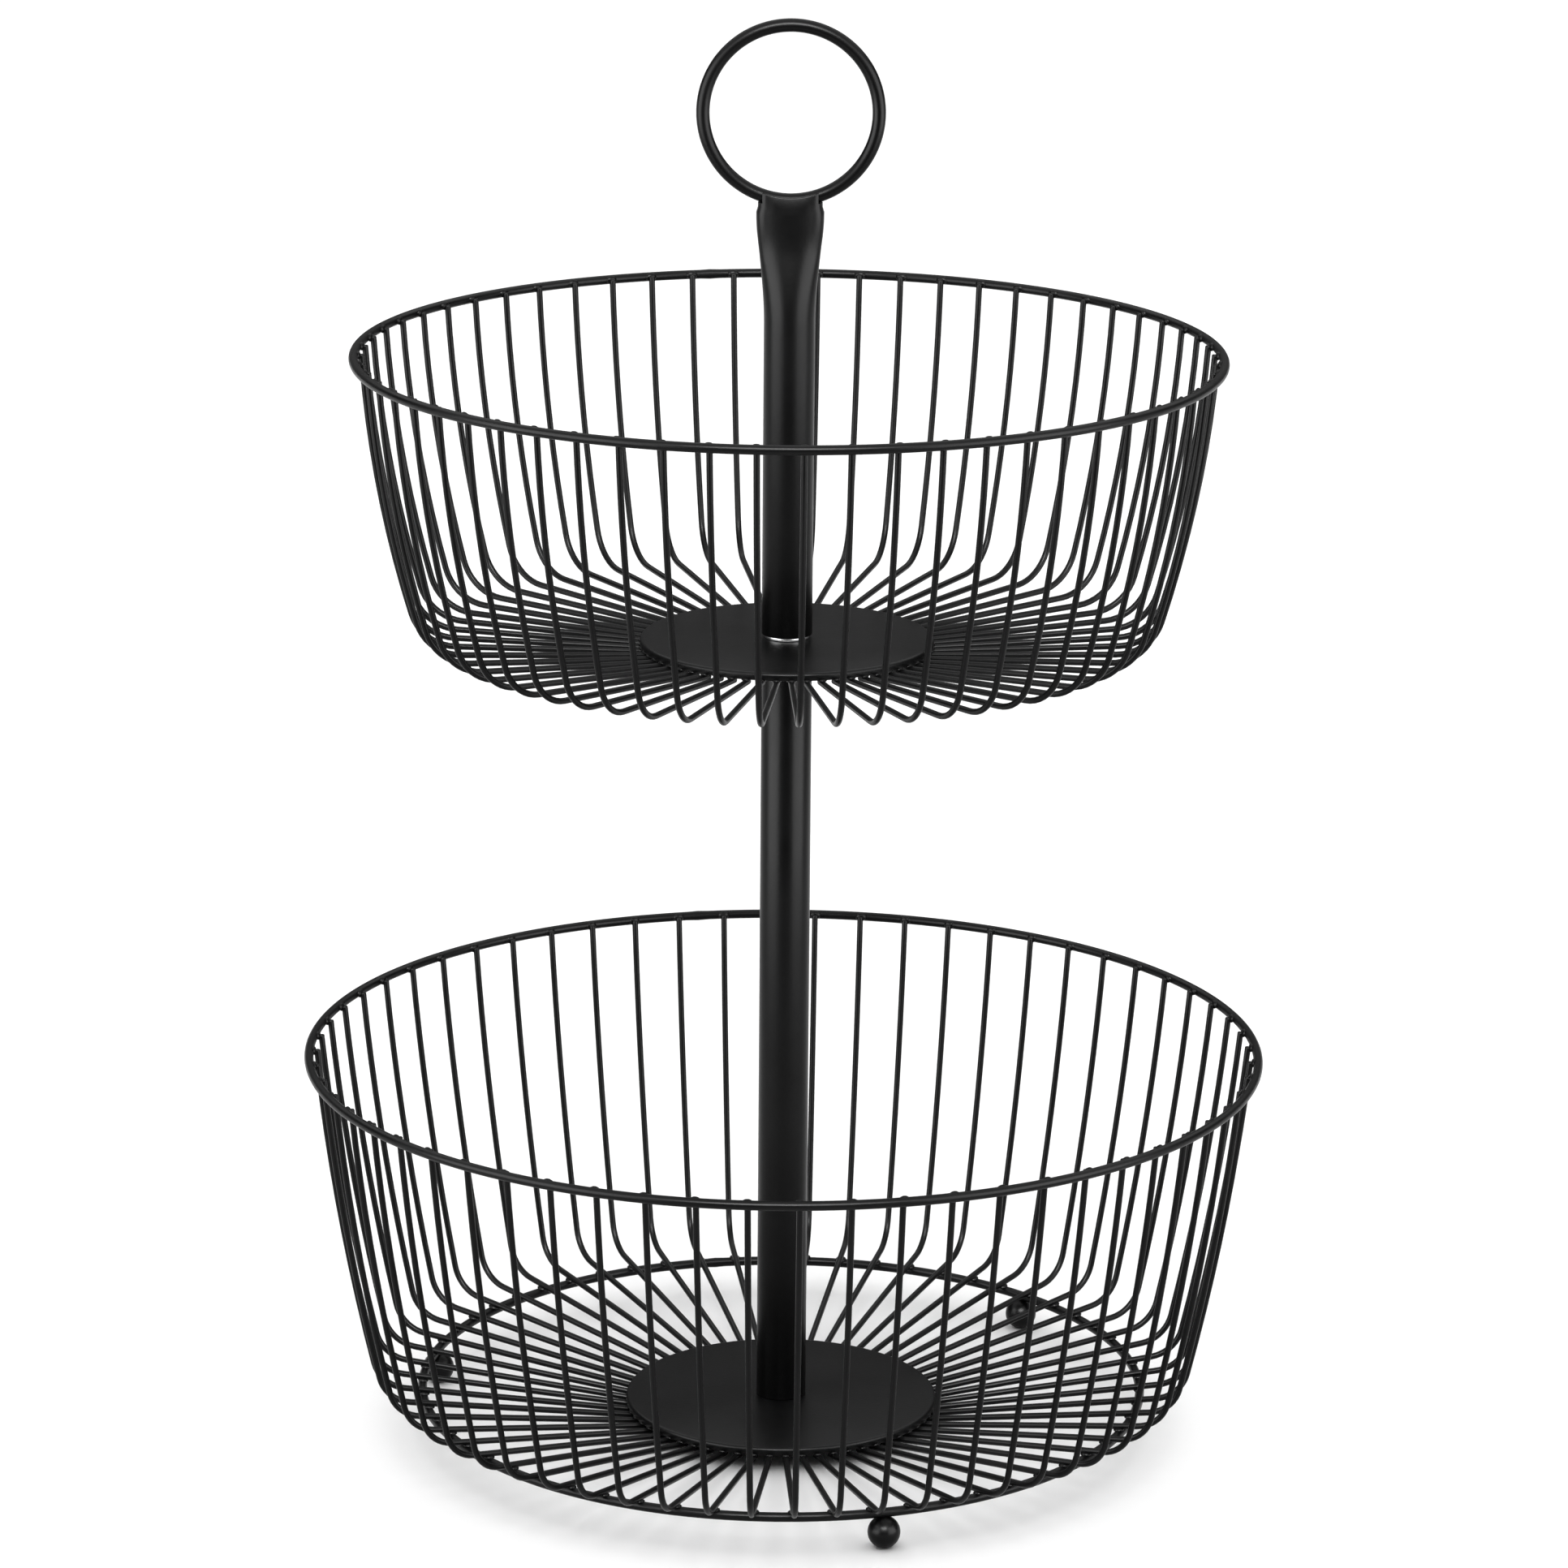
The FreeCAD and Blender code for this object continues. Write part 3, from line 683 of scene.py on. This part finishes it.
def modelHandleTube():
    low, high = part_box("upper_tube")
    ring = middle("handle_ring")
    flatLow = high.z - handleTube["mouthLength"]
    roundTop = flatLow - handleTube["flareLength"]
    startFresh()
    bpy.ops.mesh.primitive_circle_add(
        vertices=columnTube["sides"], radius=columnTube["radius"], location=(0, 0, low.z))
    tube = named("handleTube")
    editAll(tube)
    extrude(z=roundTop - low.z)

    # the flare: the round outline drawn wider and thinner in steps, its girth nearly kept
    steps = handleTube["flareSteps"]
    ovalLength = handleTube["flareLength"] * handleTube["ovalShare"]
    halfWidth = handleTube["flatWidth"] / 2
    edgeRadius = handleTube["flatThickness"] / 2
    radius = wide = thick = columnTube["radius"]
    for step in range(1, steps + 1):
        share = handleTube["ovalShare"] * step / steps
        wider = radius + (halfWidth - radius) * eased(share, handleTube["wideSlope"])
        thinner = radius + (edgeRadius - radius) * eased(share, handleTube["thinSlope"])
        extrude(z=ovalLength / steps)
        scaleAbout((0, 0, 0), wider / wide, thinner / thick)
        wide, thick = wider, thinner
    ovalTop = roundTop + ovalLength

    # the mouth's outline: a small circle drawn apart into two round edges and two flat faces
    half = columnTube["sides"] // 2
    apart = halfWidth - edgeRadius
    bpy.ops.mesh.select_all(action="DESELECT")
    bpy.ops.mesh.primitive_circle_add(
        vertices=half, radius=edgeRadius, location=(0, 0, flatLow), rotation=(0, 0, pi / half))
    above = flatLow - near
    for side in (-1, 1):
        pick(tube, lambda co: co.z > above and co.x * side > 0)
        bpy.ops.transform.translate(value=(side * apart, 0, 0))
    faceEnd = apart + edgeRadius * sin(2 * pi / half)
    for side in (-1, 1):
        pick(tube, lambda co: co.z > above and abs(co.x) < faceEnd and co.y * side > 0, "EDGE")
        bpy.ops.mesh.subdivide(number_cuts=half // 2)
    crownFaces(tube, above, apart, handleTube["crown"])
    pick(tube, lambda co: co.z > above, "EDGE")
    extrude(z=handleTube["shoulder"])
    extrude(z=handleTube["pinchRise"])
    pinchTop = flatLow + handleTube["shoulder"] + handleTube["pinchRise"]
    extrude(z=high.z + handleTube["mouthSpare"] - pinchTop)
    crownFaces(tube, high.z, apart, -handleTube["lipPress"])
    pick(tube, lambda co: min(abs(co.z - ovalTop), abs(co.z - flatLow)) < near, "EDGE")
    bpy.ops.mesh.bridge_edge_loops(
        number_cuts=handleTube["flareCuts"], interpolation="SURFACE", smoothness=1.0)
    pick(tube, lambda co: co.z > pinchTop - near)
    scaleAbout((0, 0, pinchTop), x=1 - handleTube["pinch"] / halfWidth)
    closeMesh()
    addWall(tube)
    applyAll(tube)

    # the saddle under the ring and a step at each corner
    depth = handleTube["cutterDepth"]
    block = handleTube["cutterBlock"]
    startFresh()
    bpy.ops.mesh.primitive_cylinder_add(
        vertices=handleTube["saddleSides"], depth=depth, location=ring, rotation=(pi / 2, 0, 0),
        radius=handleRing["radius"] - handleRing["wire"] + handleTube["saddleDrop"])
    combine(tube, named("saddleCut"), "DIFFERENCE")
    stepHeight = ring.z - handleTube["stepDown"]
    for side in (-1, 1):
        startFresh()
        bpy.ops.mesh.primitive_cube_add(
            size=1, scale=(block, depth, block),
            location=(side * (handleTube["faceHalf"] + block / 2), 0, stepHeight + block / 2))
        combine(tube, named("cornerCut"), "DIFFERENCE")
    cleanCut(tube, handleTube["cutMerge"])

    # the mouth's outer lip and the lower end are broken
    outside = edgeRadius - (columnTube["wall"] - handleTube["crown"]) / 2
    wallMiddle = radius - columnTube["wall"] / 2
    editAll(tube)
    pick(
        tube, lambda co: co.z > stepHeight - near and hypot(max(abs(co.x) - apart, 0), co.y) > outside,
        "EDGE")
    bpy.ops.mesh.bevel(offset=handleTube["lipRound"], segments=handleTube["lipSegments"], affect="EDGES")
    pick(tube, lambda co: co.z < low.z + near and co.xy.length > wallMiddle, "EDGE")
    bpy.ops.mesh.bevel(offset=columnTube["endRound"], segments=columnTube["endSegments"], affect="EDGES")
    cleanCut(tube, tolerance["sliver"])
    smooth(tube, "tube")
    place(tube, "handle", "black_coat", blackCoat, "upper_tube")


modelHandleTube()


def modelHandleRing():
    startFresh()
    bpy.ops.mesh.primitive_torus_add(
        major_radius=handleRing["radius"], minor_radius=handleRing["wire"],
        major_segments=handleRing["around"], minor_segments=handleRing["sides"],
        location=middle("handle_ring"), rotation=(pi / 2, 0, 0))
    ring = named("handleRing")
    smooth(ring, "ring")
    place(ring, "handle", "black_coat", blackCoat, "handle_ring")


modelHandleRing()
print("handle made")


# hardware on the axis, in bright zinc

thread = {
    "pitch": 0.0010,
    "depth": 0.00061,
    "rootShare": 0.25,
    "crestShare": 0.125,
    "steps": 36,
    "spareTurns": 2,       # wound beyond each end and cut away again
    "spare": 0.0001,       # the blank that trims a rod stands clear of its crests
}
hardware = {
    "sides": 72,
    "hole": 0.0030,
    "endBreak": 0.0004,
    "edgeRound": 0.00015,
    "edgeSegments": 2,
    "facing": 0.9,         # faces that look along the axis
    "cutMerge": 0.00002,
}
baseScrew = {
    "headHeight": 0.0028,
    "headRound": 0.0012,
    "headSegments": 6,
    "socketSides": 6,
    "socketWidth": 0.0040,
    "socketDepth": 0.0016,
    "shankPlay": 0.00005,  # smaller than the holes' radius
    "shankLap": 0.0002,    # reaches into the head
}


def modelRod(name, radius, low, high):
    # a threaded rod: one tooth wound up the axis, then cut to length and chamfered
    pitch = thread["pitch"]
    startFresh()
    bpy.ops.mesh.primitive_plane_add(size=pitch)
    rod = named(name)
    editAll(rod)
    bpy.ops.mesh.merge(type="CENTER")
    start = low - thread["spareTurns"] * pitch
    bpy.ops.transform.translate(value=(radius - thread["depth"], 0, start))
    flank = pitch * (1 - thread["rootShare"] - thread["crestShare"]) / 2
    extrude(z=pitch * thread["rootShare"])
    extrude(x=thread["depth"], z=flank)
    extrude(z=pitch * thread["crestShare"])
    extrude(x=-thread["depth"], z=flank)
    bpy.ops.object.mode_set(mode="OBJECT")
    winding = rod.modifiers.new("winding", "SCREW")
    winding.axis = "Z"
    winding.screw_offset = pitch
    winding.iterations = int((high - low) / pitch) + 2 * thread["spareTurns"]
    winding.steps = winding.render_steps = thread["steps"]
    winding.use_merge_vertices = True
    winding.merge_threshold = tolerance["merge"]
    applyAll(rod)
    editAll(rod)
    bpy.ops.mesh.remove_doubles(threshold=tolerance["merge"])
    for height, outward in ((low - pitch / 2, -1), (high + pitch / 2, 1)):
        bpy.ops.mesh.select_all(action="SELECT")
        bpy.ops.mesh.bisect(
            plane_co=(0, 0, height), plane_no=(0, 0, outward), use_fill=True, clear_outer=True,
            threshold=tolerance["cut"])
    closeMesh()
    startFresh()
    bpy.ops.mesh.primitive_cylinder_add(
        vertices=hardware["sides"], radius=radius + thread["spare"], depth=high - low,
        location=(0, 0, (low + high) / 2))
    blank = named("rodBlank")
    editAll(blank)
    pickFaces(blank, lambda co, normal: abs(normal.z) > hardware["facing"])
    bpy.ops.mesh.bevel(offset=hardware["endBreak"] + thread["spare"], segments=1, affect="EDGES")
    closeMesh()
    combine(rod, blank, "INTERSECT")
    return rod


def modelStud():
    low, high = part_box("joining_stud")
    stud = modelRod("joiningStud", (high.x - low.x) / 2, low.z, high.z)
    smooth(stud, "hardware")
    place(stud, "lower_tier", "zinc_steel", zincSteel, "joining_stud")


def modelScrew():
    low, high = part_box("base_screw")
    headTop = low.z + baseScrew["headHeight"]
    startFresh()
    bpy.ops.mesh.primitive_cylinder_add(
        vertices=hardware["sides"], radius=(high.x - low.x) / 2, depth=baseScrew["headHeight"],
        location=(0, 0, (low.z + headTop) / 2))
    screw = named("baseScrew")
    editAll(screw)
    pickFaces(screw, lambda co, normal: normal.z < -hardware["facing"])
    bpy.ops.mesh.bevel(
        offset=baseScrew["headRound"], segments=baseScrew["headSegments"], affect="EDGES")
    pickFaces(screw, lambda co, normal: normal.z > hardware["facing"])
    bpy.ops.mesh.bevel(offset=hardware["edgeRound"], segments=hardware["edgeSegments"], affect="EDGES")
    closeMesh()
    startFresh()
    bpy.ops.mesh.primitive_cylinder_add(
        vertices=baseScrew["socketSides"], radius=baseScrew["socketWidth"] / sqrt(3),
        depth=2 * baseScrew["socketDepth"], location=(0, 0, low.z))
    combine(screw, named("socketCut"), "DIFFERENCE")
    shankRadius = hardware["hole"] - baseScrew["shankPlay"]
    shank = modelRod("screwShank", shankRadius, headTop - baseScrew["shankLap"], high.z)
    combine(screw, shank, "UNION")
    cleanCut(screw, hardware["cutMerge"])
    smooth(screw, "hardware")
    place(screw, "lower_tier", "zinc_steel", zincSteel, "base_screw")


def modelSleeve(name, node, body, outerBreak):
    # a turned ring: washers and the inserts pressed into the tubes
    low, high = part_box(node)
    radius = (high.x - low.x) / 2
    startFresh()
    bpy.ops.mesh.primitive_circle_add(
        vertices=hardware["sides"], radius=hardware["hole"], location=(0, 0, low.z))
    sleeve = named(name)
    editAll(sleeve)
    extrude()
    share = radius / hardware["hole"]
    scaleAbout((0, 0, low.z), share, share)
    bpy.ops.mesh.select_all(action="SELECT")
    extrude(z=high.z - low.z)
    closeMesh()
    editAll(sleeve)
    for end in (low.z, high.z):
        pick(sleeve, lambda co: co.xy.length > radius - near and abs(co.z - end) < near, "EDGE")
        bpy.ops.mesh.bevel(offset=outerBreak, segments=hardware["edgeSegments"], affect="EDGES")
    closeMesh()
    smooth(sleeve, "hardware")
    place(sleeve, body, "zinc_steel", zincSteel, node)


modelStud()
modelScrew()
modelSleeve("baseWasher", "base_washer", "lower_tier", hardware["edgeRound"])
modelSleeve("jointWasher", "joint_washer", "joint_washer", hardware["edgeRound"])
modelSleeve("lowerTubeBottomInsert", "lower_tube_bottom_insert", "lower_tier", hardware["endBreak"])
modelSleeve("lowerTubeTopInsert", "lower_tube_top_insert", "lower_tier", hardware["endBreak"])
modelSleeve("upperTubeInsert", "upper_tube_insert", "handle", hardware["endBreak"])
print("hardware cut and turned")


# floor, light and camera

studio = {
    "floorSize": 24,
    "floorTones": ((0.86, 0.86, 0.86, 1), (0.9, 0.9, 0.9, 1)),
    "floorRoughness": 0.9,
    "cloudScale": 3,
    "cardTones": ((0.002, 0.002, 0.002, 1), (0.006, 0.006, 0.006, 1)),
    "feltScale": 60,
    "detail": 2,
    "toneStops": (0.2, 0.8),
    "world": (1.0, 1.0, 1.0, 1),
    "worldStrength": 0.15,
    "boxes": {             # place, aim, width, height, watts, and whether it lights the floor too
        "leftBox": ((-0.95, -0.58, 0.45), (0, 0, 0.3), 1.1, 0.9, 30, False),
        "rightBox": ((0.95, -0.58, 0.45), (0, 0, 0.3), 1.1, 0.9, 27, False),
        "frontBox": ((0, -2.2, 2.0), (0, 0, 0.3), 1.6, 0.7, 200, False),
        "topBox": ((0, 0.8, 3.5), (0, 0.8, 0), 10.0, 9.0, 500, True),
    },
    "darkCard": ((0, -1.34, 0.004), 0.9, 2.1, 0.9),    # place, width, depth, height
}

startFresh()
bpy.ops.mesh.primitive_plane_add(size=studio["floorSize"], location=(0, 0, 0))
floor = bpy.context.active_object
floor.name = "floor"
floorMaterial, floorTree, floorShader = newMaterial("paleFloor")
floorCloud = noise(floorTree, studio["cloudScale"], studio["detail"])
floorTone = blendRamp(
    floorTree, floorCloud.outputs["Fac"], studio["toneStops"], *studio["floorTones"])
floorTree.links.new(floorTone, floorShader.inputs["Base Color"])
floorShader.inputs["Roughness"].default_value = studio["floorRoughness"]
floor.data.materials.append(floorMaterial)

world = bpy.data.worlds.new("studio")
world.use_nodes = True
world.node_tree.nodes["Background"].inputs["Color"].default_value = studio["world"]
world.node_tree.nodes["Background"].inputs["Strength"].default_value = studio["worldStrength"]
bpy.context.scene.world = world


def softBox(name, where, aim, width, height, power, lightsFloor):
    startFresh()
    bpy.ops.object.light_add(type="AREA", location=where)
    lamp = bpy.context.active_object
    lamp.name = name
    lamp.data.shape = "RECTANGLE"
    lamp.data.size = width
    lamp.data.size_y = height
    lamp.data.energy = power
    lamp.rotation_euler = (Vector(aim) - Vector(where)).to_track_quat("-Z", "Y").to_euler()
    lamp.visible_camera = False
    lamp.visible_diffuse = lightsFloor


def darkCard(where, width, depth, height):
    # a black card in front, turned up at its far end, seen only as a dark band in the tubes' shine
    startFresh()
    bpy.ops.mesh.primitive_plane_add(size=1, location=where, scale=(width, depth, 1))
    card = named("darkCard")
    editAll(card)
    pick(card, lambda co: co.y < where[1], "EDGE")
    extrude(z=height)
    bpy.ops.object.mode_set(mode="OBJECT")
    material, tree, shader = newMaterial("blackCard")
    felt = noise(tree, studio["feltScale"], studio["detail"])
    tone = blendRamp(tree, felt.outputs["Fac"], studio["toneStops"], *studio["cardTones"])
    tree.links.new(tone, shader.inputs["Base Color"])
    shader.inputs["Specular IOR Level"].default_value = 0.0
    card.data.materials.append(material)
    card.visible_camera = False
    card.visible_diffuse = False
    card.visible_shadow = False


for name, settings in studio["boxes"].items():
    softBox(name, *settings)
darkCard(*studio["darkCard"])

photoView = {
    "place": (-0.00056, -1.96649, 0.75944),
    "pitch": 15.496,       # degrees down
    "roll": 0.45,
    "lens": 147.16,
    "sensor": 36,
    "clipEnd": 100,
}
startFresh()
bpy.ops.object.camera_add(location=photoView["place"])
camera = bpy.context.active_object
camera.name = "photoCamera"
camera.data.sensor_width = photoView["sensor"]
camera.data.lens = photoView["lens"]
camera.data.clip_end = photoView["clipEnd"]
camera.rotation_euler = (radians(90 - photoView["pitch"]), 0, 0)
camera.rotation_euler.rotate_axis("Z", radians(photoView["roll"]))
bpy.context.scene.camera = camera
bpy.context.scene.view_settings.view_transform = "Standard"
print("floor, light and camera set")
